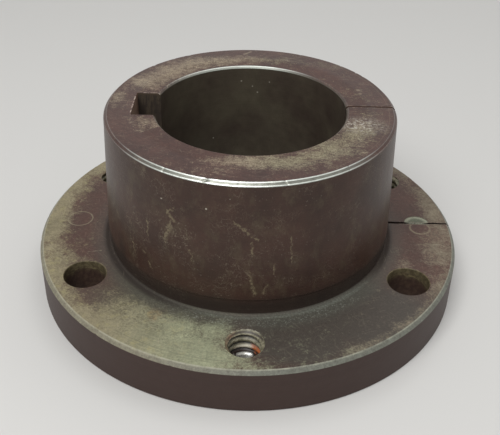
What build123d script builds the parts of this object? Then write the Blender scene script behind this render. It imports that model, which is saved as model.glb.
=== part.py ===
from build123d import *
import math
import os

# A split taper bush: one cast and turned piece that wedges inside a tapered hub and grips a keyed shaft.
# It stands on its flange. The origin is the middle of the flange's bottom face, +Z runs along the bore
# to the nose. The keyway is at -X and the saw cut that lets the bush close is at +X.

# Flange
flange_diameter = 117.5
flange_thickness = 12.7
flange_top_chamfer = 1.0
flange_bottom_chamfer = 0.3

# Tapered barrel. Its diameter is where the cone would meet the flange's upper face
barrel_diameter = 79.4
overall_length = 50.8
taper_on_diameter = 1 / 16
nose_chamfer = 0.9

# Shallow relief turned into the barrel's root, so that a hub bears on the cone and not in the corner
relief_height = 5.0
relief_depth = 0.4
root_fillet = 0.6

# Bore and keyway
bore_diameter = 50.8
bore_chamfer = 0.6
keyway_width = 12.7
keyway_depth = 6.35

# Saw cut through barrel and flange. It leans, so it lies a little off the middle at the nose and more below
slit_width = 0.9
slit_offset = 1.05
slit_lean = 1.9

# Screw holes, drilled and tapped in turn on the circle midway between barrel and rim. The flange stands out
# from the barrel by two screws' widths, and each hole is wider or narrower than the screw by its clearance
hole_count = 3
screws_across_overhang = 2
drilled_hole_clearance = 1.575
drilled_hole_break = 0.3
thread_depth_both_sides = 1.575
tapped_mouth_clearance = 0.075
first_drilled_angle = 90.0

# Values that follow from the sizes above
barrel_height = overall_length - flange_thickness
nose_diameter = barrel_diameter - taper_on_diameter * barrel_height
relief_diameter = barrel_diameter - 2 * relief_depth
relief_top = flange_thickness + relief_height
relief_top_diameter = barrel_diameter - taper_on_diameter * relief_height
relief_step = (relief_top_diameter - relief_diameter) / 2
bore_radius = bore_diameter / 2
keyway_bottom = math.sqrt(bore_radius**2 - (keyway_width / 2) ** 2) + keyway_depth
slit_offset_below = slit_offset + overall_length * math.tan(math.radians(slit_lean))
screw_diameter = (flange_diameter - barrel_diameter) / 2 / screws_across_overhang
drilled_hole_diameter = screw_diameter + drilled_hole_clearance
tapped_hole_diameter = screw_diameter - thread_depth_both_sides
tapped_mouth_depth = (screw_diameter + tapped_mouth_clearance - tapped_hole_diameter) / 2
hole_circle_radius = (flange_diameter + barrel_diameter) / 4
first_tapped_angle = first_drilled_angle + 180 / hole_count


def rims_of(part, diameter):
    """The round edges of one diameter, from the lowest to the highest."""
    rims = part.edges().filter_by(GeomType.CIRCLE)
    return rims.filter_by(lambda rim: abs(rim.radius - diameter / 2) < 0.01).sort_by(Axis.Z)


with BuildPart() as taper_bush:
    # Half section through the wall: straight bore, flange, relieved root and tapered barrel
    with BuildSketch(Plane.XZ):
        with BuildLine():
            Polyline(
                (bore_radius, 0),
                (flange_diameter / 2, 0),
                (flange_diameter / 2, flange_thickness),
                (relief_diameter / 2, flange_thickness),
                (relief_diameter / 2, relief_top - relief_step),
                (relief_top_diameter / 2, relief_top),
                (nose_diameter / 2, overall_length),
                (bore_radius, overall_length),
                close=True,
            )
        make_face()
    revolve(axis=Axis.Z)

    # Turned edges
    fillet(rims_of(taper_bush, relief_diameter)[0], radius=root_fillet)
    chamfer(rims_of(taper_bush, nose_diameter)[-1], length=nose_chamfer)
    chamfer(rims_of(taper_bush, bore_diameter), length=bore_chamfer)
    chamfer(rims_of(taper_bush, flange_diameter)[-1], length=flange_top_chamfer)
    chamfer(rims_of(taper_bush, flange_diameter)[0], length=flange_bottom_chamfer)

    # Clearance holes for the screws that draw the bush into the hub
    with BuildSketch():
        with PolarLocations(hole_circle_radius, hole_count, start_angle=first_drilled_angle):
            Circle(drilled_hole_diameter / 2)
    extrude(amount=flange_thickness, mode=Mode.SUBTRACT)
    chamfer(rims_of(taper_bush, drilled_hole_diameter), length=drilled_hole_break)

    # Tapped holes for the screws that push the bush out again, countersunk at both ends
    with BuildSketch():
        with PolarLocations(hole_circle_radius, hole_count, start_angle=first_tapped_angle):
            Circle(tapped_hole_diameter / 2)
    extrude(amount=flange_thickness, mode=Mode.SUBTRACT)
    chamfer(rims_of(taper_bush, tapped_hole_diameter), length=tapped_mouth_depth)

    # Keyway from end to end
    with BuildSketch():
        with Locations((-keyway_bottom / 2, 0)):
            Rectangle(keyway_bottom, keyway_width)
    extrude(amount=overall_length, mode=Mode.SUBTRACT)

    # Saw cut through the wall and the flange, opposite the keyway, as the blade went down from the nose
    with BuildSketch(Plane.YZ):
        with BuildLine():
            Polyline(
                (slit_offset_below - slit_width / 2, 0),
                (slit_offset_below + slit_width / 2, 0),
                (slit_offset + slit_width / 2, overall_length),
                (slit_offset - slit_width / 2, overall_length),
                close=True,
            )
        make_face()
    extrude(amount=flange_diameter / 2, mode=Mode.SUBTRACT)

taper_bush.part.label = "taper_bush"

os.makedirs("parts", exist_ok=True)
export_step(taper_bush.part, "parts/taper_bush.step")

print("solids", len(taper_bush.part.solids()), "volume in mm3", round(taper_bush.part.volume, 1))
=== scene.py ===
import math
import random

import bpy
from mathutils import Matrix, Vector, noise


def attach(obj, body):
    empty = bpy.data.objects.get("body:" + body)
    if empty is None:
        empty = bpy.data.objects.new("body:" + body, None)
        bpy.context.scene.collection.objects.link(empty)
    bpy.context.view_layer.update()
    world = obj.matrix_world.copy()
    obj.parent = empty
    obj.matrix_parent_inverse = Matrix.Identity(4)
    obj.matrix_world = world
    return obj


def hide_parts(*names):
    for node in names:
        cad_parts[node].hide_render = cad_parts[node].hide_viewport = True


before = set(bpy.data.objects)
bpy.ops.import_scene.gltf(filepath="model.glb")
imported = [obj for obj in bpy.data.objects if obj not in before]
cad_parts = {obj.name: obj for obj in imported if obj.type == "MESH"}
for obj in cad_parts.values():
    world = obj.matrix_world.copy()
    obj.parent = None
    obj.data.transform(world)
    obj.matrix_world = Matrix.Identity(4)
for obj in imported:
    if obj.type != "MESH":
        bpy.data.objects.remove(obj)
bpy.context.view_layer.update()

# Meshes and finishes are worked out in millimetres and brought to metres by this factor
MM = 0.001

# Sizes of the bush, as in the CAD model
flange_radius = 58.75
flange_thickness = 12.7
flange_top_chamfer = 1.0
flange_bottom_chamfer = 0.3
barrel_radius = 39.7
overall_length = 50.8
taper_on_radius = 1 / 32
nose_chamfer = 0.9
relief_height = 5.0
relief_depth = 0.4
root_fillet = 0.6
bore_radius = 25.4
bore_chamfer = 0.6
keyway_width = 12.7
keyway_floor = 30.94
slit_offset = 1.05
slit_lean = 1.9
hole_circle = 49.225
drilled_radius = 5.55
minor_radius = 3.975
tapped_mouth_radius = 4.8

# Sizes that only the look has
edge_round = 0.16
drilled_break = 0.15
segments = 700
longest_chamfer = 1.6
row_spacing_on_chamfers = 0.35
row_spacing_on_walls = 3.2
# How far a cutter reaches past the faces that it cuts
overshoot = 1.0
slit_width_nose = 0.7
slit_width_flange = 1.0
slit_least_width = 0.08
thread_pitch = 2.0
thread_shift = 0.35
thread_depth = 0.8
thread_floor = 6.2
thread_run_out = 1.0
foot_ledge = 0.5
ledge_top = thread_floor - 0.1
ledge_slope_height = 0.5
ledge_bottom = 2
rear_mouth_radius = 4.35
# Stamped marks on the flange: centre and radius
ring_mark = ((-48.75, 0.85), 3.5)
upper_mark = ((49.1, 2.1), 3.6)
lower_mark = ((49.6, -0.3), 2.8)

# Angles of the holes in degrees. The front of the picture is at -90, which is 270 here
drilled_angles = (90, 210, 330)
front_tapped_angle = 270
tapped_angles = (30, 150, front_tapped_angle)

nose_radius = barrel_radius - taper_on_radius * (overall_length - flange_thickness)
mm_per_degree = barrel_radius * math.radians(1)


def slit_middle(height):
    """Where the leaning saw cut lies across X at a height."""
    return slit_offset + (overall_length - height) * math.tan(math.radians(slit_lean))


def unit(value):
    """The value kept between 0 and 1."""
    return min(1, max(0, value))


def on_circle(radius, degrees, height=0.0):
    turn = math.radians(degrees)
    return Vector((radius * math.cos(turn), radius * math.sin(turn), height))


def placed(data):
    """A new object of the scene that shows the data and has its name."""
    obj = bpy.data.objects.new(data.name, data)
    bpy.context.scene.collection.objects.link(obj)
    return obj


def new_object(name, points, faces, material):
    """A mesh object from points in millimetres."""
    mesh = bpy.data.meshes.new(name)
    mesh.from_pydata([tuple(point) for point in points], [], faces)
    mesh.update()
    mesh.materials.append(material)
    return placed(mesh)


def tube_faces(rows, columns, closed_rows=False):
    """Quads of a grid that closes round its columns, and where asked round its rows."""
    faces = []
    last = rows if closed_rows else rows - 1
    for row in range(last):
        for column in range(columns):
            here, beside = column, (column + 1) % columns
            above = (row + 1) % rows
            faces.append((row * columns + here, row * columns + beside,
                          above * columns + beside, above * columns + here))
    return faces


def capped_tube(name, rings, material):
    """A closed solid through a stack of rings with the same number of points."""
    columns = len(rings[0])
    points = [point for ring in rings for point in ring]
    faces = tube_faces(len(rings), columns)
    faces.append(tuple(reversed(range(columns))))
    faces.append(tuple((len(rings) - 1) * columns + column for column in range(columns)))
    return new_object(name, points, faces, material)


def rounded(corners, steps=3):
    """The outline through corners (radius, height, rounding), with an arc where there is a rounding."""
    straight = 0.01
    outline = []
    for index, (radius, height, rounding) in enumerate(corners):
        corner = Vector((radius, height))
        before = Vector(corners[index - 1][:2]) - corner
        after = Vector(corners[(index + 1) % len(corners)][:2]) - corner
        turn = before.angle(after)
        if not rounding or abs(turn - math.pi) < straight:
            outline.append(corner)
            continue
        reach = rounding / math.tan(turn / 2)
        start = corner + before.normalized() * reach
        end = corner + after.normalized() * reach
        halfway = (before.normalized() + after.normalized()).normalized()
        centre = corner + halfway * rounding / math.sin(turn / 2)
        for step in range(steps + 1):
            share = step / steps
            chord = start.lerp(end, share) - centre
            outline.append(centre + chord.normalized() * rounding)
    return outline


def with_rows(outline):
    """The outline with points added: close together on the short chamfers, far apart on plain walls."""
    dense = []
    for index, point in enumerate(outline):
        following = outline[(index + 1) % len(outline)]
        length = (following - point).length
        spacing = row_spacing_on_chamfers if length < longest_chamfer else row_spacing_on_walls
        parts = max(1, math.ceil(length / spacing))
        dense.extend(point.lerp(following, part / parts) for part in range(parts))
    return dense


def half_section():
    """The turned outline, from the foot of the bore round the outside."""
    relief_radius = barrel_radius - relief_depth
    relief_top = flange_thickness + relief_height
    cone_at_relief = barrel_radius - taper_on_radius * relief_height
    step = cone_at_relief - relief_radius
    cone_under_chamfer = nose_radius + taper_on_radius * nose_chamfer
    return [
        (bore_radius, bore_chamfer, edge_round),
        (bore_radius + bore_chamfer, 0, edge_round),
        (flange_radius - flange_bottom_chamfer, 0, 0),
        (flange_radius, flange_bottom_chamfer, 0),
        (flange_radius, flange_thickness - flange_top_chamfer, edge_round),
        (flange_radius - flange_top_chamfer, flange_thickness, edge_round),
        (relief_radius, flange_thickness, root_fillet),
        (relief_radius, relief_top - step, 0),
        (cone_at_relief, relief_top, edge_round),
        (cone_under_chamfer, overall_length - nose_chamfer, edge_round),
        (nose_radius - nose_chamfer, overall_length, edge_round),
        (bore_radius + bore_chamfer, overall_length, edge_round),
        (bore_radius, overall_length - bore_chamfer, edge_round),
    ]


# Nicks that the photograph shows: angle, half width, depth, and degrees that they run askew per millimetre
nose_nicks = [(-105, 1.1, 0.26, 1.5), (-121, 0.7, 0.2, 0), (-77, 0.6, 0.22, -0.6), (-52, 0.5, 0.24, 0.4),
              (-93, 0.5, 0.1, 0), (-66, 0.6, 0.12, 1)]
flange_nicks = [(-128, 1.0, 0.22, 0), (-107, 0.7, 0.2, 0), (-63, 1.0, 0.12, 0), (-24, 0.9, 0.15, 0)]


def random_nicks(seed, count, deepest):
    """Small nicks on the side that the photograph doesn't show."""
    draw = random.Random(seed)
    return [(draw.uniform(-20, 200), draw.uniform(0.4, 1.2), draw.uniform(0.05, deepest), draw.uniform(-1, 1))
            for _ in range(count)]


def nick_depth(angle, above, nicks):
    depth = 0.0
    for at, half_width, deepest, askew in nicks:
        away = abs((angle - at - askew * above + 180) % 360 - 180) / half_width
        if away < 1:
            depth = max(depth, deepest * (1 - away))
    return depth


def turned_body(material):
    """The bush before anything is cut from it, its rims a little uneven."""
    unevenness, chamfer_slope, inward_each_way = 0.035, 1.4, 0.7
    outline = with_rows(rounded(half_section()))
    nose_rim = Vector((nose_radius - nose_chamfer / 2, overall_length - nose_chamfer / 2))
    flange_rim = Vector((flange_radius - flange_top_chamfer / 2, flange_thickness - flange_top_chamfer / 2))
    rims = ((nose_rim, nose_nicks + random_nicks(seed=3, count=9, deepest=0.25), 1.0),
            (flange_rim, flange_nicks + random_nicks(seed=5, count=14, deepest=0.22), 1.2))
    points = []
    for spot in outline:
        for column in range(segments):
            angle = 360 * column / segments
            radius, height = spot
            for rim, nicks, reach in rims:
                near = 1 - (spot - rim).length / reach
                if near > 0:
                    wear = unevenness * noise.noise(on_circle(radius * 0.7, angle, height)) * near
                    nick = nick_depth(angle, chamfer_slope * (height - rim.y), nicks)
                    inward = near**0.5 * nick + abs(wear)
                    radius -= inward * inward_each_way
                    height -= inward * inward_each_way
            points.append(on_circle(radius, angle, height))
    faces = tube_faces(len(outline), segments, closed_rows=True)
    return new_object("taper_bush_body", points, faces, material)


def box_between(name, low, high, step, roughness, material):
    """A box whose upright sides wander a little, as a broach leaves them."""
    plan_scale, height_scale = 1.3, 0.5
    corners = [(low.x, low.y), (high.x, low.y), (high.x, high.y), (low.x, high.y)]
    corners = [Vector(corner) for corner in corners]
    rings = []
    rows = max(2, round((high.z - low.z) / step))
    for row in range(rows + 1):
        height = low.z + (high.z - low.z) * row / rows
        ring = []
        for start, end in zip(corners, corners[1:] + corners[:1]):
            parts = max(1, round((end - start).length / step))
            for part in range(parts):
                spot = start.lerp(end, part / parts)
                across = Vector((end.y - start.y, start.x - end.x)).normalized()
                where = Vector((spot.x * plan_scale, spot.y * plan_scale, height * height_scale))
                shift = roughness * noise.noise(where)
                spot = spot + across * shift
                ring.append(Vector((spot.x, spot.y, height)))
        rings.append(ring)
    return capped_tube(name, rings, material)


def ragged(x, height, seed):
    """How far a sawn edge wanders."""
    swing = 0.16
    slow = noise.noise(Vector((x * 0.45, seed, height * 0.3)))
    quick = noise.noise(Vector((x * 2.6, seed, height * 0.8)))
    return swing * slow + swing * quick


def slit_cutter(material):
    """The saw cut, narrower at the nose than in the flange and all but closed at a punch mark."""
    rings = []
    inner, outer, step = bore_radius - 3, flange_radius + 2, 0.4
    count = round((outer - inner) / step)
    rows = 40
    narrowing_at_rim, narrowing_from, narrowing_over = 0.3, 44, 8
    peened_width, peened_half_length, peened_from = 0.62, 3.2, 11
    near_seed, far_seed = 3, 31
    for row in range(rows + 1):
        height = -overshoot + (overall_length + 2 * overshoot) * row / rows
        rise = unit((height - flange_thickness) / 10)
        in_mark = unit(2 * (height - peened_from))
        near, far = [], []
        for index in range(count + 1):
            x = inner + (outer - inner) * index / count
            narrowing = narrowing_at_rim * unit((x - narrowing_from) / narrowing_over) * (1 - rise)
            half = (slit_width_flange - narrowing + (slit_width_nose - slit_width_flange) * rise) / 2
            along_mark = (x - upper_mark[0][0]) / peened_half_length
            peened = peened_width * max(0, 1 - along_mark**2) * in_mark
            low = slit_middle(height) - half + ragged(x, height, near_seed)
            high = slit_middle(height) + half - peened + ragged(x, height, far_seed)
            near.append(Vector((x, low, height)))
            far.append(Vector((x, max(high, low + slit_least_width), height)))
        rings.append(near + list(reversed(far)))
    return capped_tube("saw_cut", rings, material)


def ring_groove(name, centre, radius, start, end, material):
    """A shallow round groove stamped into the flange's face, from one angle to another."""
    around, across, thin, lift = 48, 8, 0.24, 0.12
    rings = []
    whole = end - start >= 360
    for index in range(around + (0 if whole else 1)):
        degrees = start + (end - start) * index / around
        ring = []
        for part in range(across):
            reach = radius + thin * math.cos(math.tau * part / across)
            height = flange_thickness + lift + thin * math.sin(math.tau * part / across)
            ring.append(Vector((*centre, 0)) + on_circle(reach, degrees, height))
        rings.append(ring)
    if not whole:
        return capped_tube(name, rings, material)
    points = [point for ring in rings for point in ring]
    return new_object(name, points, tube_faces(around, across, closed_rows=True), material)


def half_disc(name, centre, radius, material):
    """A very shallow spot-face on the far side of the saw cut."""
    depth, above, parts = 0.1, 0.5, 32
    middle = Vector((*centre, 0))
    rings = []
    for height in (flange_thickness - depth, flange_thickness + above):
        rings.append([middle + on_circle(radius, 180 * part / parts, height) for part in range(parts + 1)])
    return capped_tube(name, rings, material)


def drilled_cutter(angle, material):
    """A drill's plain wall, with its edges broken at both ends."""
    centre, columns = on_circle(hole_circle, angle), 72
    top, wide = flange_thickness, drilled_radius + drilled_break
    stations = [(wide + overshoot, -overshoot), (wide, 0), (drilled_radius, drilled_break),
                (drilled_radius, top / 2), (drilled_radius, top - drilled_break), (wide, top),
                (wide + overshoot, top + overshoot)]
    turns = [360 * column / columns for column in range(columns)]
    rings = [[centre + on_circle(radius, turn, height) for turn in turns] for radius, height in stations]
    return capped_tube(f"drilled_{angle}", rings, material)


def thread_shape(share):
    """How far the groove is cut, from 0 on a crest to 1 at its root, over one pitch."""
    flank, root = 5 / 16, 1 / 8
    share %= 1
    if share < flank:
        return share / flank
    if share < flank + root:
        return 1
    if share < 2 * flank + root:
        return 1 - (share - flank - root) / flank
    return 0


def thread_cutter(angle, mouth_radius, material):
    """A tap's shape: a helical groove that runs out above a small ledge, and a countersink at both ends."""
    centre = on_circle(hole_circle, angle)
    columns, rows_in_a_turn = 60, 14
    length = flange_thickness + 2 * overshoot
    rows = math.ceil(length / (thread_pitch / rows_in_a_turn))
    rings = []
    for row in range(rows + 1):
        height = -overshoot + length * row / rows
        mouth = mouth_radius - min(height, flange_thickness - height)
        fade = unit((height - thread_floor) / thread_run_out)
        ledge = foot_ledge * unit((ledge_top - height) / ledge_slope_height) if height > ledge_bottom else 0
        ring = []
        for column in range(columns):
            turn = column / columns
            groove = thread_shape((height + thread_shift) / thread_pitch - turn) * thread_depth * fade
            radius = max(minor_radius + groove - ledge, mouth)
            ring.append(centre + on_circle(radius, 360 * turn, height))
        rings.append(ring)
    return capped_tube(f"thread_{angle}", rings, material)


def carve(body, cutters):
    """Cuts every cutter from the body and removes it."""
    for cutter in cutters:
        cut = body.modifiers.new(cutter.name, "BOOLEAN")
        cut.operation = "DIFFERENCE"
        cut.solver = "EXACT"
        cut.object = cutter
        cut.material_mode = "TRANSFER"
    bpy.context.view_layer.update()
    depsgraph = bpy.context.evaluated_depsgraph_get()
    mesh = bpy.data.meshes.new_from_object(body.evaluated_get(depsgraph))
    body.modifiers.clear()
    body.data = mesh
    for cutter in cutters:
        bpy.data.objects.remove(cutter)


def soften(body, sharp_angle):
    """Smooth shading with crisp edges, and flat faces that stay flat."""
    face_area_weight = 80
    body.data.shade_smooth()
    body.data.set_sharp_from_angle(angle=math.radians(sharp_angle))
    weighted = body.modifiers.new("weighted_normals", "WEIGHTED_NORMAL")
    weighted.keep_sharp = True
    weighted.weight = face_area_weight


def srgb(red, green, blue):
    """A colour as it looks on screen, 0 to 255, in the renderer's linear values."""
    def linear(value):
        share = value / 255
        return share / 12.92 if share <= 0.04045 else ((share + 0.055) / 1.055) ** 2.4
    return (linear(red), linear(green), linear(blue), 1)


def add_node(tree, kind, inputs, output=0, **settings):
    """A shader node of a kind. Its inputs are values or other nodes' outputs."""
    node = tree.nodes.new("ShaderNode" + kind)
    for key, value in settings.items():
        setattr(node, key, value)
    for key, value in inputs.items():
        if isinstance(value, bpy.types.NodeSocket):
            tree.links.new(value, node.inputs[key])
        else:
            node.inputs[key].default_value = value
    return node.outputs[output]


# A soft stroke or rim has its full strength over this share of its width
full_share = 0.3


class Graph:
    """Short names for the nodes of one material. Lengths are in millimetres and angles in degrees."""

    def __init__(self, name):
        self.material = bpy.data.materials.new(name)
        self.material.use_nodes = True
        self.tree = self.material.node_tree
        self.shader = self.tree.nodes["Principled BSDF"]
        self.spot = self.vector("MULTIPLY", self.add("TexCoord", {}, "Object"), (1 / MM,) * 3)
        self.x, self.y, self.z = self.add("SeparateXYZ", {0: self.spot}).node.outputs
        self.plan = self.vector("MULTIPLY", self.spot, (1, 1, 0))
        self.radius = self.vector("LENGTH", self.plan)
        self.angle = self.scaled(self.math("ARCTAN2", self.y, self.x), math.degrees(1))
        self.section = self.add("CombineXYZ", {0: self.radius, 1: self.z})
        arc = self.scaled(self.angle, mm_per_degree)
        self.unrolled = self.add("CombineXYZ", {0: arc, 1: self.z})

    def add(self, *values, **settings):
        return add_node(self.tree, *values, **settings)

    def math(self, operation, *values, clamp=False):
        return self.add("Math", dict(enumerate(values)), operation=operation, use_clamp=clamp)

    def vector(self, operation, *values):
        output = "Value" if operation in ("LENGTH", "DISTANCE", "DOT_PRODUCT") else "Vector"
        return self.add("VectorMath", dict(enumerate(values)), output=output, operation=operation)

    def stretch(self, value, factor):
        """A vector or a colour times one number."""
        if isinstance(value, tuple):
            value = value[:3]
        return self.add("VectorMath", {0: value, "Scale": factor}, operation="SCALE")

    def scaled(self, value, factor):
        return self.math("MULTIPLY", value, factor)

    def chain(self, operation, values):
        result = values[0]
        for value in values[1:]:
            result = self.math(operation, result, value)
        return result

    def total(self, *values):
        return self.chain("ADD", values)

    def both(self, *masks):
        return self.chain("MULTIPLY", masks)

    def either(self, *masks):
        return self.chain("MAXIMUM", masks)

    def reach_from(self, centre):
        """Distance in plan from a point of the flange."""
        return self.vector("DISTANCE", self.plan, (*centre, 0))

    def step(self, value, low, high):
        """0 at low and 1 at high, whichever is the larger, with a soft change between."""
        return self.add("MapRange", {"Value": value, "From Min": low, "From Max": high},
                        interpolation_type="SMOOTHSTEP")

    def past(self, value, limit, soft):
        """1 above a limit and 0 below it, or the other way round where soft is negative."""
        return self.step(value, limit - soft, limit + soft)

    def value(self, share, low, high):
        return self.add("MapRange", {"Value": share, "To Min": low, "To Max": high})

    def band(self, value, low, high, soft):
        return self.both(self.past(value, low, soft), self.past(value, high, -soft))

    def noise(self, scale, detail=3, roughness=0.55, where=None):
        """Noise spread over 0 to 1."""
        usual_low, usual_high = 0.28, 0.72
        inputs = {"Vector": where or self.spot, "Scale": scale, "Detail": detail, "Roughness": roughness}
        plain = self.add("TexNoise", inputs)
        return self.add("MapRange", {"Value": plain, "From Min": usual_low, "From Max": usual_high})

    def drawn_out(self, factors, scale, detail=3, roughness=0.6, turn=0):
        """Noise stretched along an axis, for scratches and smears."""
        where = self.spot
        if turn:
            where = self.add("VectorRotate", {"Vector": where, "Angle": math.radians(turn)},
                             rotation_type="Z_AXIS")
        return self.noise(scale, detail, roughness, self.vector("MULTIPLY", where, factors))

    def hairlines(self, turn, amount):
        """Thin straight scratches across a flat face."""
        long_and_thin, soft = (0.07, 1, 1), 0.04
        return self.step(self.drawn_out(long_and_thin, 2.6, 1, turn=turn), 1 - amount, 1 + soft - amount)

    def colour(self, share, low, high):
        """The colour low where the share is 0, and high where it is 1."""
        return self.add("Mix", {"Factor": share, 6: low, 7: high}, 2, data_type="RGBA")

    def shaded(self, colour, *layers):
        """The colour made darker or lighter by each layer: a mask, and the factor at its 0 and at its 1."""
        for share, low, high in layers:
            colour = self.stretch(colour, self.value(share, low, high))
        return colour

    def laid(self, colour, tone, *masks):
        """The colour with a tone over it where all the masks are 1. A number among them is its strength."""
        return self.colour(self.both(*masks), colour, tone)

    def blob(self, centre, reach, soft=0.75):
        """1 in the middle of an ellipse in plan that fades out to 0 at its rim."""
        away = self.vector("SUBTRACT", self.plan, (*centre, 0))
        shares = self.vector("MULTIPLY", away, (1 / reach[0], 1 / reach[1], 0))
        return self.step(self.vector("LENGTH", shares), 1, 1 - soft)

    def blobs(self, spots):
        """Soft patches that add up to 1 at most where they meet."""
        patches = [self.scaled(self.blob(centre, reach, 1), strength) for centre, reach, strength in spots]
        return self.math("MINIMUM", self.total(*patches), 1)

    def near_rim(self, radius, height, reach):
        """1 on a turned edge that fades out within a small reach."""
        away = self.vector("DISTANCE", self.section, (radius, height, 0))
        return self.step(away, reach, reach * full_share)

    def stroke(self, where, start, end, width):
        """1 along a short line between two points of a plane."""
        run = Vector((end[0] - start[0], end[1] - start[1], 0))
        away = self.vector("SUBTRACT", where, (*start, 0))
        share = self.scaled(self.vector("DOT_PRODUCT", away, tuple(run)), 1 / run.length_squared)
        nearest = self.stretch(tuple(run), self.math("MULTIPLY", share, 1.0, clamp=True))
        return self.step(self.vector("DISTANCE", away, nearest), width, width * full_share)

    def bump(self, height, distance, strength=1.0, normal=None):
        inputs = {"Height": height, "Distance": distance * MM, "Strength": strength}
        if normal is not None:
            inputs["Normal"] = normal
        return self.add("Bump", inputs)

    def finish(self, colour, roughness, metal, normal, specular=0.3):
        named = {"Base Color": colour, "Roughness": roughness, "Metallic": metal, "Normal": normal}
        for name, value in named.items():
            self.tree.links.new(value, self.shader.inputs[name])
        self.shader.inputs["Specular IOR Level"].default_value = specular
        return self.material


# Tones of the nose face, as they look on screen
face_browns = (srgb(60, 41, 37), srgb(80, 55, 48))
face_olive = srgb(148, 134, 114)
face_tan = srgb(140, 132, 108)
pale_scratch = srgb(164, 154, 132)
scuff_grey = srgb(154, 143, 124)
scuff_pale = srgb(206, 202, 190)
keyway_burr = srgb(170, 152, 140)

# Tones along the saw cut and in the stamped marks
slit_darkening = srgb(44, 34, 31)
slit_burr = srgb(146, 128, 112)
ring_tan = srgb(140, 130, 108)
disc_green = srgb(100, 106, 88)
disc_border = srgb(156, 158, 138)

# Tones of the flange's upper face
flange_browns = (srgb(86, 61, 53), srgb(70, 51, 45))
flange_umber = srgb(90, 86, 73)
flange_grey = srgb(70, 64, 58)
flange_tan = srgb(143, 134, 108)
flange_tan_right = srgb(132, 122, 104)
flange_green = srgb(154, 157, 129)
flange_yellow = srgb(162, 154, 112)
flange_orange = srgb(150, 112, 72)
brushed_grey = srgb(84, 86, 76)
chip_pale = srgb(204, 200, 182)
# Round the barrel's root: a grey tone, painted shade in the corner, and a painted highlight line and glints
# in front
root_grey = srgb(80, 80, 72)
root_highlight_line = srgb(118, 122, 112)
root_corner_painted_shade = srgb(46, 39, 35)
root_glint = srgb(160, 166, 156)

# Tones of the barrel, the bore, the flange's side and the chamfers
barrel_browns = (srgb(56, 41, 35), srgb(70, 50, 42))
barrel_fleck = srgb(150, 142, 128)
barrel_speck = srgb(200, 192, 176)
smear_olive = srgb(104, 96, 74)
smear_pale = srgb(136, 125, 99)
# Painted shade at the barrel's foot, also used for a painted reflection
barrel_foot_shade = srgb(44, 38, 34)
bore_tones = (srgb(58, 48, 42), srgb(84, 78, 64))
bore_speck = srgb(170, 164, 150)
side_browns = (srgb(60, 44, 39), srgb(62, 47, 42))
rim_worn = (srgb(146, 142, 122), srgb(124, 127, 116))
rim_edge_highlight = srgb(172, 170, 152)
# Painted sheen and highlights on the nose and bore chamfers and on their burnished edges
bore_chamfer_sheen = srgb(150, 154, 146)
burnished_steel_highlight = srgb(226, 230, 224)
nose_chamfer_sheen = srgb(122, 124, 116)

# Tones inside the keyway, the saw cut and the holes. A cut's tones are its ground, its streaks and its mouth,
# lighter as painted light along the top of its walls
keyway_tones = (srgb(58, 50, 44), srgb(80, 70, 58), srgb(78, 66, 54))
slit_tones = (srgb(40, 30, 27), srgb(58, 46, 40), srgb(92, 70, 60))
# The keyway's floor: lighter, partly bare cut metal and partly painted light
keyway_floor_lit_tan = srgb(122, 98, 84)
drilled_upper = (srgb(82, 73, 54), srgb(114, 104, 78))
drilled_lower_shade = (srgb(62, 46, 40), srgb(86, 68, 56))
drilled_line = srgb(146, 136, 98)
thread_olive = (srgb(100, 96, 76), srgb(146, 140, 118))
thread_groove_shade = srgb(40, 31, 25)
mouth_groove_shade = srgb(38, 26, 21)
thread_tan = srgb(136, 96, 68)
# Painted light in the front hole: a highlight on a crest, shade at the foot, and a highlight on its polished
# spot
lit_crest = srgb(246, 238, 216)
ledge_painted_shade = srgb(46, 34, 29)
ledge_polish_highlight = (srgb(206, 204, 196), srgb(255, 254, 248))
rust = srgb(172, 92, 44)

# Tones round the bush
floor_grey = srgb(214, 213, 210)
backdrop_grey = srgb(232, 232, 230)

# Rubbed places on the nose face and the flange's upper face: centre, reach in plan and strength
nose_worn = (
    ((-28, 13), (8, 11), 0.75), ((-22, 21), (11, 10), 0.9), ((-14, 27.5), (12, 7), 0.9),
    ((-3, 30), (13, 5.5), 0.75), ((9, 29.5), (9, 4), 0.5), ((-26, -11), (8, 7), 0.6),
    ((-35.5, 3), (5, 10), 0.6), ((-32, 14), (6, 6), 0.45), ((-2, -29), (15, 6), 0.75),
    ((10, -28), (14, 7), 0.8), ((20, -22), (12, 9), 0.9), ((27, -14), (9, 9), 0.75),
    ((31, -4), (6, 6), 0.3), ((22, 27), (10, 5), 0.4), ((12, 33), (8, 4), 0.3),
    ((-12, -34), (14, 4), 0.3), ((30, 8), (7, 7), 0.3),
)
flange_worn = (
    ((-34, -42), (22, 17), 1.0), ((-20, -47), (24, 16), 1.0), ((-6, -50), (20, 13), 1.0),
    ((-49, -24), (13, 17), 0.8), ((-56, -6), (8, 24), 0.75), ((-55, 14), (9, 20), 0.75),
    ((-47, 30), (12, 14), 0.7), ((8, -46), (11, 9), 0.6), ((-44, -8), (6, 9), 0.25),
    ((42, -15), (5, 10), 0.45), ((-20, 50), (22, 12), 0.7), ((26, 46), (20, 10), 0.6),
    ((55, 8), (6, 26), 0.5), ((52, -10), (7, 12), 0.7), ((42, -20), (5, 7), 0.45),
    ((-10, -42), (13, 6), 0.75), ((7, -43), (10, 4), 0.35),
)
# Other places in plan: patches with centre and reach, and scratches from start to end
scuff = ((28.4, -9.6), (8.8, 6.2))
nose_spots = (((29.5, 11.1), (0.8, 0.8)), ((29.9, 8.8), (0.7, 0.7)))
nose_scratch = ((-2.4, 34.2), (-0.4, 36.2))
smooth_patches = (((30, -38), (28, 20)), ((13, -47), (22, 15)))
umber_patch = ((-21, -38), (28, 22))
left_hole_halo = (((-40, -30), (10, 8)), ((-38.5, -34), (6, 6)))
orange_spot = ((-22.5, -40), (2.6, 3.0))
flange_scratches = (((-43.6, -15.0), (-40.2, -14.2)), ((-30, -52.2), (-27, -47.6)))

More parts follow.
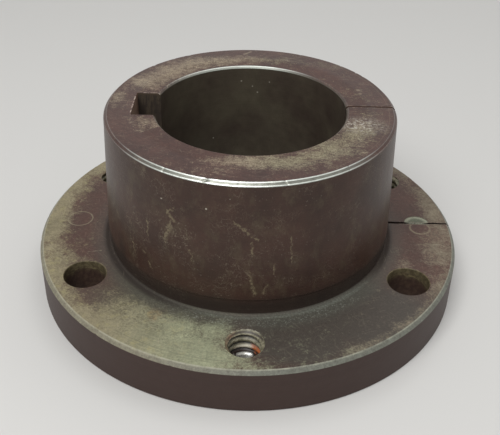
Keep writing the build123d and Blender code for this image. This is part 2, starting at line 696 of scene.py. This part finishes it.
# Smears and scratches on the barrel: start and end as (angle, height), then the width
barrel_marks = (
    ((-116.6, 41.1), (-119.2, 39.3), 0.7), ((-119.2, 39.3), (-116.4, 37.6), 0.8),
    ((-117.3, 38.2), (-118.3, 35.5), 0.7), ((-118.3, 35.5), (-120.6, 31.5), 1.3),
    ((-149.4, 30.2), (-147.7, 28.6), 0.4), ((-137.6, 25.0), (-136.2, 22.6), 0.4),
    ((-128.6, 35.1), (-128.7, 30.5), 0.5), ((-131.6, 24.4), (-130.0, 24.3), 0.4),
    ((-128.4, 22.0), (-127.0, 20.2), 0.5), ((-94.6, 40.2), (-90.0, 37.8), 0.6),
    ((-90.0, 37.8), (-86.3, 35.4), 0.6), ((-88.1, 34.6), (-88.0, 31.0), 0.5),
    ((-89.3, 26.4), (-87.0, 19.2), 0.7), ((-82.5, 22.0), (-84.0, 19.5), 0.5),
    ((-74.5, 35.8), (-73.9, 28.4), 0.3), ((-80.3, 28.4), (-80.2, 25.6), 0.35),
    ((-110.5, 30.4), (-109.6, 27.5), 0.35), ((60, 38), (63, 30), 0.5),
    ((101, 34), (98, 24), 0.5), ((140, 40), (146, 37), 0.45),
)
# Where a painted reflection of the left drilled hole lies on the unrolled barrel
hole_reflection_place = (-101.5, 9.6, 0)
# Bright specks on the barrel and the bore: angle, height, radius
barrel_specks = ((-104.3, 43.1, 0.2), (-48.7, 29.1, 0.2), (-84.8, 16.9, 0.22), (-121.8, 42.7, 0.16),
                 (-96, 46.5, 0.14))
bore_specks = ((96.7, 46.2, 0.2), (89.3, 44.5, 0.16), (85.9, 42.6, 0.2), (78.0, 46.2, 0.15),
               (116.2, 28.2, 0.18))

# Ranges of radius on the flange's upper face, and of angle round the axis
rim_wear = (48.5, 58.5)
root_zone = (46.5, 41.5)
front_of_root = (-112, -35, 18)
whole_front = (-165, -15, 25)
# Angles round the axis where the chamfers carry painted highlights: the nose's in front, the bore's behind
front_highlight_angles = (-132, -47, 16)
back_highlight_angles = (62, 138, 22)


def rubbed_through(g, worn, parts, low, high):
    """Breaks a soft worn area up: parts are noises with the share that each has in it."""
    worn_share, middle = 0.65, 0.5
    level = g.scaled(worn, worn_share)
    for part, share in parts:
        level = g.total(level, g.scaled(g.math("SUBTRACT", part, middle), share))
    return g.step(level, low, high)


def nose_colour(g, grain):
    """The nose face: purple-brown, rubbed olive along the bore, with hairlines and a scuffed spot."""
    across = g.scaled(g.drawn_out((1, 0.3, 1), 1.4, 4, turn=25), 0.8)
    streaks = g.either(g.drawn_out((0.3, 1, 1), 1.6, 4, turn=14), across)
    flecks = g.noise(1.0, 3, 0.75)
    colour = g.colour(g.noise(0.12), *face_browns)
    colour = g.shaded(colour, (grain, 0.72, 1.25), (flecks, 0.8, 1.2), (streaks, 0.86, 1.14))
    crackle = g.noise(0.8, 5, 0.65)
    parts = ((g.noise(0.3), 0.3), (crackle, 0.36), (streaks, 0.42), (grain, 0.42))
    rubbed = rubbed_through(g, g.blobs(nose_worn), parts, 0.1, 0.78)
    olive = g.colour(g.step(g.x, -5, 8), face_olive, face_tan)
    olive = g.shaded(olive, (grain, 0.62, 1.25), (streaks, 0.8, 1.12), (flecks, 0.84, 1.14))
    colour = g.laid(colour, olive, rubbed, 0.92)
    lines = g.either(g.hairlines(6, 0.1), g.hairlines(72, 0.05), g.hairlines(-38, 0.07))
    colour = g.laid(colour, pale_scratch, lines, g.value(rubbed, 0.12, 0.5))
    scuffed = g.blob(*scuff, 1)
    patchy = g.value(g.step(g.noise(0.9, 5, 0.75), 0.25, 0.75), 0.05, 0.65)
    colour = g.laid(colour, scuff_grey, scuffed, patchy)
    colour = g.laid(colour, scuff_pale, scuffed, g.step(g.noise(1.4, 4, 0.7), 0.5, 0.8), 0.75)
    small = g.either(*[g.blob(*spot) for spot in nose_spots], g.stroke(g.plan, *nose_scratch, 0.5))
    colour = g.laid(colour, face_olive, small, 0.5)
    line = g.band(g.radius, nose_radius - 2.1, nose_radius - 1.9, 0.12)
    colour = g.laid(colour, face_olive, line, g.band(g.angle, -60, 40, 20), 0.16)

    # Burr along the keyway's far side and its floor
    half = keyway_width / 2
    side, floor = half + 0.12, -keyway_floor - 0.15
    burr = g.either(g.stroke(g.plan, (-29, side), (-24.6, side), 0.34),
                    g.stroke(g.plan, (floor, -half), (floor, half - 1), 0.26))
    return g.laid(colour, keyway_burr, burr, g.step(crackle, 0.3, 0.7)), rubbed


def slit_marks(g, colour):
    """Darker along the saw cut, and a light burr on both its sides."""
    height = g.math("SUBTRACT", overall_length, g.z)
    middle = g.total(g.scaled(height, math.tan(math.radians(slit_lean))), slit_offset)
    away = g.math("SUBTRACT", g.y, middle)
    right_of_bore = g.step(g.x, 24, 25)
    # A darker band along the saw cut
    colour = g.laid(colour, slit_darkening, right_of_bore, g.band(away, -1.0, 1.0, 0.5), g.noise(0.8), 0.5)
    burr = g.band(g.math("ABSOLUTE", away), 0.4, 0.66, 0.12)
    return g.laid(colour, slit_burr, right_of_bore, burr, g.step(g.noise(1.1, 4), 0.35, 0.75), 0.6)


def stamped_marks(g, colour, grain):
    """The light ring left of the barrel, and the split one on the right with its bright far half."""
    def line(centre, radius, half_width, soft):
        return g.band(g.reach_from(centre), radius - half_width, radius + half_width, soft)

    patchy = g.value(g.noise(0.6), 0.35, 0.95)
    lower = g.both(line(*lower_mark, 0.25, 0.25), g.step(g.y, 1.6, 1.2))
    colour = g.laid(colour, ring_tan, g.either(line(*ring_mark, 0.15, 0.2), lower), patchy)
    centre, radius = upper_mark
    reach = g.reach_from(centre)
    upper = g.both(g.past(reach, radius, -0.2), g.step(g.y, 1.5, 1.9))
    border = g.either(g.step(reach, radius - 1.5, radius - 0.5), g.step(g.y, 2.9, 2.2))
    disc = g.shaded(g.laid(disc_green, disc_border, border, 0.9), (grain, 0.75, 1.2))
    return g.laid(colour, disc, upper, g.value(grain, 0.75, 1.0))


def flange_colour(g, grain):
    """The flange's upper face: olive where rubbed, brown inside, dark and smooth at the front right."""
    streaks = g.drawn_out((0.3, 1, 1), 1.8, 3, turn=28)
    flecks = g.noise(1.1, 3, 0.75)
    smooth = g.either(*[g.blob(*patch, 0.6) for patch in smooth_patches])
    colour = g.colour(g.noise(0.1), *flange_browns)
    colour = g.laid(colour, flange_umber, g.blob(*umber_patch, 0.7), 0.8)
    colour = g.shaded(g.colour(smooth, colour, flange_grey), (grain, 0.84, 1.16))
    colour = g.colour(g.value(smooth, 1, 0.3), colour, g.shaded(colour, (flecks, 0.72, 1.28)))

    # Olive wear: less of it round the left hole and in the smooth part, more along the rim
    halo = g.either(*[g.blob(*patch, 1) for patch in left_hole_halo])
    along_rim = g.both(g.step(g.radius, *rim_wear), g.value(g.noise(0.1, 2), 0.4, 1.0))
    worn = g.total(g.blobs(flange_worn), g.scaled(along_rim, 0.75))
    inside = g.either(g.step(g.radius, 56.5, 55), g.step(g.x, 27, 16))
    worn = g.both(worn, g.value(halo, 1, 0.35), g.value(g.both(smooth, inside), 1, 0.12))
    root = g.step(g.radius, *root_zone)
    parts = ((g.noise(0.2, 5, 0.65), 0.4), (g.noise(0.9, 4, 0.65), 0.32), (streaks, 0.15), (grain, 0.4))
    # Less olive towards the barrel's root, so it stays darker there: partly painted shade
    rubbed = rubbed_through(g, g.both(worn, g.value(root, 1, 0.45)), parts, 0.04, 0.78)
    olive = g.colour(g.step(g.x, -40, -8), flange_tan, flange_green)
    olive = g.colour(g.step(g.x, 8, 36), olive, flange_tan_right)
    olive = g.shaded(olive, (grain, 0.74, 1.2), (flecks, 0.82, 1.16), (g.noise(0.14, 5, 0.65), 0.76, 1.14),
                     (streaks, 0.92, 1.06))
    olive = g.laid(olive, flange_yellow, g.step(g.noise(0.45, 4, 0.7), 0.5, 0.95), g.step(g.x, 0, -25), 0.5)
    colour = g.laid(colour, olive, rubbed, 0.95)

    # A greyer zone round the barrel's root, with painted shade in its corner, and in front a fine painted
    # highlight line and painted glints along it
    in_front = g.band(g.angle, *front_of_root)
    grey = g.shaded(root_grey, (grain, 0.8, 1.25))
    colour = g.laid(colour, grey, root, g.value(g.band(g.angle, *whole_front), 0.25, 0.6))
    line, corner = g.band(g.radius, 39.9, 40.8, 0.6), g.band(g.radius, 39.0, 41.2, 0.8)
    colour = g.laid(colour, root_highlight_line, line, in_front, g.value(grain, 0.1, 0.9), 0.8)
    colour = g.laid(colour, root_corner_painted_shade, corner, g.value(in_front, 0.85, 0))
    glints = g.band(g.radius, 40.4, 43.6, 0.9)
    colour = g.laid(colour, root_glint, glints, g.band(g.angle, -118, -50, 14), g.step(grain, 0.6, 0.95), 0.5)

    # An orange spot, scratches, hairlines, brushed rings in front, and chips behind the front tapped hole
    colour = g.laid(colour, flange_orange, g.blob(*orange_spot), g.noise(0.9, 2), 0.45)
    scratches = g.either(*[g.stroke(g.plan, *ends, 0.3) for ends in flange_scratches])
    colour = g.laid(colour, pale_scratch, scratches, g.noise(1.2), 0.4)
    hairs = g.either(g.hairlines(50, 0.07), g.hairlines(-20, 0.06), g.hairlines(84, 0.05))
    colour = g.laid(colour, pale_scratch, hairs, g.value(rubbed, 0.1, 0.35))
    rings = g.step(g.noise(3.2, 2, 0.6, g.section), 0.55, 0.95)
    colour = g.laid(colour, brushed_grey, rings, g.band(g.angle, -125, -75, 12), g.step(g.radius, 50, 53),
                    0.3)
    at_mouth = g.both(g.step(g.reach_from((0, -hole_circle)), 5.1, 4.95), g.step(g.y, -46.8, -45.4))
    colour = g.laid(colour, chip_pale, at_mouth, g.step(g.noise(1.2, 5, 0.8), 0.35, 0.8), 0.8)
    return stamped_marks(g, colour, grain), rubbed


def barrel_colour(g, cloud, grain):
    """The cone: dark brown with faint smears and scratches, darker in the relief at its foot as painted
    shade, and a painted reflection of the left drilled hole.
    """
    colour = g.colour(g.noise(0.09), *barrel_browns)
    colour = g.shaded(colour, (cloud, 0.93, 1.07), (grain, 0.94, 1.06))
    smears = g.step(g.drawn_out((1, 1, 0.6), 0.25, 6, 0.75), 0.45, 1.0)
    colour = g.laid(colour, smear_olive, smears, 0.25)
    curls = g.either(g.band(g.noise(0.45, 2), 0.485, 0.515, 0.02), g.band(g.noise(0.8, 2), 0.49, 0.51, 0.02))
    more_on_left = g.value(g.band(g.angle, -165, -95, 15), 0.45, 0.8)
    colour = g.laid(colour, pale_scratch, curls, g.step(g.noise(0.16, 2), 0.4, 0.8), g.value(grain, 0.3, 1),
                    more_on_left, 0.6)
    flecks = g.step(g.noise(2.0, 1), 0.95, 1.0)
    colour = g.laid(colour, barrel_fleck, flecks, g.step(g.noise(0.12, 2), 0.3, 0.8), 0.22)

    # The marks that have a place on the unrolled cone, drawn with a wandering edge
    inputs = {"Vector": g.spot, "Scale": 0.8, "Detail": 5, "Roughness": 0.7}
    wander = g.add("TexNoise", inputs, "Color")
    wander = g.stretch(g.vector("SUBTRACT", wander, (0.5, 0.5, 0.5)), 3.0)
    where = g.vector("MULTIPLY", g.vector("ADD", g.unrolled, wander), (1, 1, 0))
    strokes = []
    for start, end, width in barrel_marks:
        ends = [(angle * mm_per_degree, height) for angle, height in (start, end)]
        strokes.append(g.stroke(where, *ends, width * 0.75))
    colour = g.laid(colour, smear_pale, g.either(*strokes), g.step(g.noise(1.6, 4, 0.7), 0.2, 0.7), 0.55)
    # A dark patch on the barrel's left near its foot: a painted reflection of the left drilled hole
    hole_reflection = g.step(g.vector("DISTANCE", g.vector("MULTIPLY", where, (1, 0.5, 1)), hole_reflection_place), 3.2, 0.5)
    colour = g.laid(colour, barrel_foot_shade, hole_reflection, 0.55)
    # Painted shade in the relief at the barrel's foot
    return g.laid(colour, barrel_foot_shade, g.past(g.z, flange_thickness + relief_height, -2.2), 0.75)


def speckled(g, colour, specks, radius, tone):
    """Bright specks at given angles and heights."""
    dots = []
    for angle, height, reach in specks:
        spot = on_circle(radius, angle, height)
        dots.append(g.step(g.vector("DISTANCE", g.spot, tuple(spot)), reach + 0.12, reach - 0.05))
    return g.laid(colour, tone, g.either(*dots), 0.6)


def blackened_iron():
    """The turned surfaces: a brown-black finish, rubbed olive on the faces and bright on the rims, whose
    burnished edges and chamfers carry painted highlights.
    """
    g = Graph("blackened_iron")
    cloud = g.noise(0.42, 4)
    grain = g.noise(2.4, 3, 0.75)

    # The flange's side and underside, then each turned surface laid over it
    colour = g.shaded(g.colour(cloud, *side_browns), (grain, 0.9, 1.1))
    nose, nose_rubbed = nose_colour(g, grain)
    flange, flange_rubbed = flange_colour(g, grain)
    foot, top = flange_thickness + root_fillet, overall_length
    on_flange = g.both(g.step(g.z, flange_thickness - 0.4, flange_thickness - 0.2), g.past(g.z, foot, -0.1))
    on_barrel = g.both(g.past(g.z, foot, 0.1), g.step(g.radius, 30, 32))
    on_nose = g.step(g.z, top - 1.0, top - 0.85)
    in_bore = g.step(g.radius, bore_radius + 0.2, bore_radius + 0.1)
    colour = g.colour(on_flange, colour, flange)
    colour = g.colour(on_barrel, colour, barrel_colour(g, cloud, grain))
    colour = g.colour(on_nose, colour, nose)
    bore = g.colour(g.noise(0.07), *bore_tones)
    bore = g.shaded(bore, (cloud, 0.88, 1.1), (grain, 0.93, 1.07))
    colour = g.colour(in_bore, colour, speckled(g, bore, bore_specks, bore_radius, bore_speck))
    colour = slit_marks(g, colour)
    colour = speckled(g, colour, barrel_specks, barrel_radius - 0.9, barrel_speck)

    # Chamfers with painted sheen and highlights, brightest on their two burnished edges and towards the
    # front. Each lies between its two corners
    front = g.band(g.angle, *front_highlight_angles)
    back = g.band(g.angle, *back_highlight_angles)
    uneven = g.noise(0.5, 4, 0.8)
    drawn = g.noise(1.0, 3, 0.7, g.vector("MULTIPLY", g.unrolled, (0.7, 6, 1)))
    inset, reach = 0.12, 0.2
    nose_inner, nose_low = nose_radius - nose_chamfer, top - nose_chamfer
    nose_band = g.both(g.past(g.radius, nose_inner, 0.05), g.step(g.z, nose_low - 0.15, nose_low - 0.05))
    nose_edges = g.either(g.near_rim(nose_inner + inset, top - inset, reach),
                          g.near_rim(nose_radius - inset, nose_low + inset, reach))
    bore_outer, bore_low = bore_radius + bore_chamfer, top - bore_chamfer
    bore_band = g.both(g.step(g.z, bore_low - 0.1, bore_low + 0.05), g.past(g.radius, bore_outer, -0.05))
    bore_edges = g.near_rim(bore_outer - inset, top - inset, reach)
    rim_inner, rim_low = flange_radius - flange_top_chamfer, flange_thickness - flange_top_chamfer
    rim_band = g.both(g.past(g.radius, rim_inner, 0.05),
                      g.band(g.z, rim_low - 0.05, flange_thickness + 0.1, 0.05))
    rim_edges = g.near_rim(rim_inner + inset, flange_thickness - inset, 0.24)
    rim_tone = g.colour(g.step(g.x, -30, 10), *rim_worn)
    rim_tone = g.shaded(rim_tone, (grain, 0.72, 1.2), (g.noise(0.9, 4, 0.75), 0.72, 1.2))
    nose_sheen_tone = g.shaded(nose_chamfer_sheen, (drawn, 0.6, 1.5))
    bore_sheen_tone = g.shaded(bore_chamfer_sheen, (grain, 0.75, 1.1))
    colour = g.laid(colour, rim_tone, rim_band, g.value(uneven, 0.55, 0.95))
    # A light line on the flange chamfer's upper edge: burnished, and partly a painted highlight
    colour = g.laid(colour, rim_edge_highlight, rim_edges, g.value(g.noise(0.5), 0.0, 0.7))
    colour = g.laid(colour, nose_sheen_tone, nose_band, g.value(front, 0.0, 0.9))
    colour = g.laid(colour, burnished_steel_highlight, nose_edges, g.value(front, 0.12, 1.0), g.value(uneven, 0.6, 1.0))
    colour = g.laid(colour, bore_sheen_tone, bore_band, g.value(back, 0.1, 0.9))
    colour = g.laid(colour, burnished_steel_highlight, bore_edges, g.value(back, 0.05, 0.8), g.value(uneven, 0.5, 1.0))

    # Metal only where the chamfers carry their painted highlights
    bare_highlight = g.either(g.both(nose_band, front), g.both(bore_band, back))
    rubbed = g.either(g.both(on_nose, nose_rubbed), g.both(on_flange, flange_rubbed))
    corner = g.both(g.band(g.radius, 38.6, 40.6, 0.4), g.step(g.z, 14.5, 13.5), g.value(front, 1, 0.4))
    roughness = g.total(g.value(on_barrel, 0.46, 0.33), g.scaled(rubbed, 0.16), g.scaled(grain, 0.06),
                        g.scaled(corner, 0.4))

    # Turning marks: fine rings that follow the section
    lathe = g.noise(2.2, 2, 0.6, g.section)
    colour = g.shaded(colour, (lathe, 0.95, 1.05))
    normal = None
    for height, depth, strength in ((lathe, 0.02, 0.4), (grain, 0.03, 0.4), (cloud, 0.06, 0.3)):
        normal = g.bump(height, depth, strength, normal)
    return g.finish(colour, roughness, g.scaled(bare_highlight, 0.6), normal, specular=0.27)


def cut_iron(name, tones, roughness):
    """Broached or sawn walls: dark, with streaks along the tool's way, and a lighter tone at the nose,
    painted light along their top.
    """
    ground_tone, streak_tone, lit_top_tone = tones
    g = Graph(name)
    streaks = g.drawn_out((1, 1, 0.2), 1.2, 4)
    blotches = g.noise(0.5, 4)
    colour = g.colour(g.step(streaks, 0.35, 0.9), ground_tone, streak_tone)
    colour = g.laid(colour, g.stretch(ground_tone, 0.7), g.step(blotches, 0.55, 0.9), 0.6)
    # Lighter along the top of the walls at the nose: painted light where it reaches into the cut
    colour = g.colour(g.step(g.z, overall_length - 0.9, overall_length - 0.2), colour, lit_top_tone)
    # A lighter keyway floor: partly bare cut metal, partly painted light
    on_keyway_floor = g.step(g.x, -keyway_floor + 0.2, -keyway_floor + 0.1)
    colour = g.colour(on_keyway_floor, colour, keyway_floor_lit_tan)
    shine = g.value(blotches, roughness, roughness + 0.2)
    metal = g.scaled(g.step(streaks, 0.6, 1.0), 0.15)
    return g.finish(colour, shine, metal, g.bump(streaks, 0.1, 0.5))


def drilled_iron():
    """Drill walls: olive near the mouth, darker below a faint ledge line as painted shade."""
    g = Graph("drilled_iron")
    mottled = g.noise(0.9, 4, 0.7)
    ledge_height, ledge_wander = 9.4, 1.6
    ledge = g.total(ledge_height, g.scaled(g.noise(0.25, 2), ledge_wander))
    deep = g.step(g.math("SUBTRACT", ledge, g.z), -1.4, 1.8)
    upper = g.colour(g.step(mottled, 0.2, 0.8), *drilled_upper)
    # Deeper down, the wall turns to a darker tone: painted shade
    colour = g.colour(deep, upper, g.colour(g.step(mottled, 0.2, 1.0), *drilled_lower_shade))
    line = g.band(g.math("SUBTRACT", g.z, ledge), -0.1, 0.15, 0.15)
    colour = g.laid(colour, drilled_line, line, g.value(mottled, 0.0, 0.6))
    return g.finish(colour, g.value(mottled, 0.45, 0.65), g.scaled(mottled, 0.1), g.bump(mottled, 0.08, 0.5))


def threaded_iron():
    """The thread: olive crests; in the front hole painted shade in the grooves, a rusty crest, a painted
    highlight on a crest, and a polished foot with a painted highlight in painted shade.
    """
    g = Graph("threaded_iron")
    mottled = g.noise(1.6, 4)
    from_hole = g.reach_from((0, -hole_circle))
    front_hole = g.step(from_hole, 6, 5.5)
    colour = g.colour(g.step(mottled, 0.2, 0.8), *thread_olive)
    groove = g.step(from_hole, minor_radius + 0.3, minor_radius + 0.75)
    ends = g.value(g.band(g.x, -3.0, 3.0, 1.4), 0.55, 1.0)
    # Painted shade in the front hole's grooves below the mouth, weaker towards both sides
    colour = g.laid(colour, thread_groove_shade, groove, front_hole, g.step(g.z, 12.2, 11.8), ends)
    # A thin dark arc just under the front hole's far rim: painted shade of the first groove
    mouth = g.both(front_hole, g.band(g.z, 12.1, 12.45, 0.1), g.step(g.y, -49, -47))
    colour = g.laid(colour, mouth_groove_shade, mouth, g.value(mottled, 0.7, 1.0))
    colour = g.laid(colour, thread_tan, g.step(g.x, -1.5, -4), g.step(g.z, 11.5, 12.2), mottled, 0.6)
    on_crest = g.both(g.step(g.x, 1.0, 2.2), g.band(g.z, 7.3, 9.1, 0.35), g.step(mottled, -0.2, 0.5))
    at_foot = g.both(g.step(g.x, 2.0, 2.6), g.band(g.z, 5.4, 6.6, 0.3), g.step(mottled, 0.4, 0.6))
    rusty = g.either(on_crest, at_foot)
    colour = g.laid(colour, rust, rusty, front_hole, g.value(groove, 1.0, 0.4))

    # A painted highlight on a crest; at the foot a bright polished ledge with a painted highlight, set in
    # painted shade, below a dark groove
    lit = g.both(front_hole, g.band(g.z, 7.6, 8.3, 0.25), g.band(g.x, -2.4, 1.4, 1.0))
    colour = g.laid(colour, lit_crest, lit, g.value(groove, 1, 0), 0.85)
    # The foot in painted shade, with a polished spot whose white is partly a painted highlight, brightest
    # just right of the middle
    foot = g.both(front_hole, g.step(g.z, 7.4, 7.2))
    spot = g.both(g.band(g.x, -2.0, 1.9, 0.3), g.past(g.z, thread_floor, -0.1))
    small_spot = g.both(g.band(g.x, -3.1, -2.6, 0.2), g.step(g.z, thread_floor + 0.4, thread_floor + 0.1))
    spot = g.either(spot, small_spot)
    polish = g.colour(g.band(g.x, 0.4, 1.6, 0.6), *ledge_polish_highlight)
    colour = g.colour(foot, colour, g.colour(spot, ledge_painted_shade, polish))
    colour = g.laid(colour, rust, foot, rusty, g.step(g.z, thread_floor, thread_floor + 0.4))
    polished = g.both(foot, spot)
    roughness, metal = g.value(polished, 0.46, 0.25), g.scaled(polished, 0.5)
    return g.finish(colour, roughness, metal, g.bump(mottled, 0.05, 0.5), specular=0.5)


def bush():
    """The dressed bush, which stands for the CAD solid."""
    sharp_angle, half = 32, keyway_width / 2
    surface = blackened_iron()
    body = turned_body(surface)
    keyway_iron = cut_iron("keyway_iron", keyway_tones, roughness=0.5)
    sawn_iron = cut_iron("sawn_iron", slit_tones, roughness=0.6)
    drilled, threads = drilled_iron(), threaded_iron()
    keyway_low = Vector((-keyway_floor, -half, -overshoot))
    keyway_high = Vector((-bore_radius / 2, half, overall_length + overshoot))
    cutters = [
        box_between("keyway", keyway_low, keyway_high, step=0.8, roughness=0.1, material=keyway_iron),
        slit_cutter(sawn_iron),
        ring_groove("ring_mark", *ring_mark, 0, 360, surface),
        ring_groove("lower_mark", *lower_mark, -175, 25, surface),
        half_disc("upper_mark", *upper_mark, surface),
    ]
    cutters += [drilled_cutter(angle, drilled) for angle in drilled_angles]
    for angle in tapped_angles:
        mouth = tapped_mouth_radius if angle == front_tapped_angle else rear_mouth_radius
        cutters.append(thread_cutter(angle, mouth, threads))
    carve(body, cutters)
    body.data.transform(Matrix.Scale(MM, 4))
    body.name = "bush"
    body.data.name = "bush"
    soften(body, sharp_angle)
    return body


def ground():
    """A plain pale floor under the bush."""
    half = 3000
    material = bpy.data.materials.new("pale_floor")
    material.use_nodes = True
    shader = material.node_tree.nodes["Principled BSDF"]
    shader.inputs["Base Color"].default_value = floor_grey
    shader.inputs["Roughness"].default_value = 0.7
    corners = [(-half, -half, 0), (half, -half, 0), (half, half, 0), (-half, half, 0)]
    floor = new_object("floor", corners, [(0, 1, 2, 3)], material)
    floor.data.transform(Matrix.Scale(MM, 4))
    return floor


def soft_light(name, place, aim, size, power):
    """A square studio lamp at a place in millimetres that faces a point of the bush."""
    data = bpy.data.lights.new(name, "AREA")
    data.size = size * MM
    data.energy = power
    lamp = placed(data)
    lamp.location = Vector(place) * MM
    lamp.rotation_euler = (Vector(place) - Vector(aim)).to_track_quat("Z", "Y").to_euler()


def pale_world():
    """Even light from all round, and a pale backdrop that the camera and reflections see."""
    world = bpy.data.worlds.new("studio")
    bpy.context.scene.world = world
    world.use_nodes = True
    tree = world.node_tree
    tree.nodes.remove(tree.nodes["Background"])
    light = add_node(tree, "Background", {"Color": (1, 1, 1, 1), "Strength": 0.35})
    shown = add_node(tree, "Background", {"Color": backdrop_grey, "Strength": 1.0})
    rays = add_node(tree, "LightPath", {}).node.outputs
    seen = rays["Is Camera Ray"]
    for kind in ("Is Glossy Ray", "Is Transmission Ray"):
        seen = add_node(tree, "Math", {0: seen, 1: rays[kind]}, operation="MAXIMUM")
    mixed = add_node(tree, "MixShader", {"Fac": seen, 1: light, 2: shown})
    tree.links.new(mixed, tree.nodes["World Output"].inputs["Surface"])


def photo_camera():
    """The camera of the photograph, found by fitting the circles of the nose, the bore and the flange."""
    distance, height = 191.04, 147.45
    pitch, yaw, roll, turn = 0.55749, 0.00127, 0.02053, 0.00518
    focal_length_in_pixels, picture_width, vertical_shift = 805.98, 500, -0.079
    data = bpy.data.cameras.new("camera")
    data.sensor_width = 36
    data.lens = focal_length_in_pixels / picture_width * data.sensor_width
    data.shift_y = vertical_shift
    data.clip_start, data.clip_end = 0.01, 50
    camera = placed(data)
    about_axis = Matrix.Rotation(turn, 4, "Z")
    tilt = Matrix.Rotation(math.pi / 2 - pitch, 4, "X")
    facing = Matrix.Rotation(-yaw, 4, "Z") @ tilt @ Matrix.Rotation(roll, 4, "Z")
    camera.matrix_world = about_axis @ Matrix.Translation(Vector((0, -distance, height)) * MM) @ facing
    bpy.context.scene.camera = camera


photo_camera()
dressed = bush()
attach(dressed, "root")
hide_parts("taper_bush")
ground()
pale_world()
aim = (0, 0, 20)
soft_light("key", (-150, -340, 560), aim, size=340, power=2.7)
soft_light("top", (150, 120, 600), aim, size=480, power=0.9)
bpy.context.scene.view_settings.view_transform = "Standard"
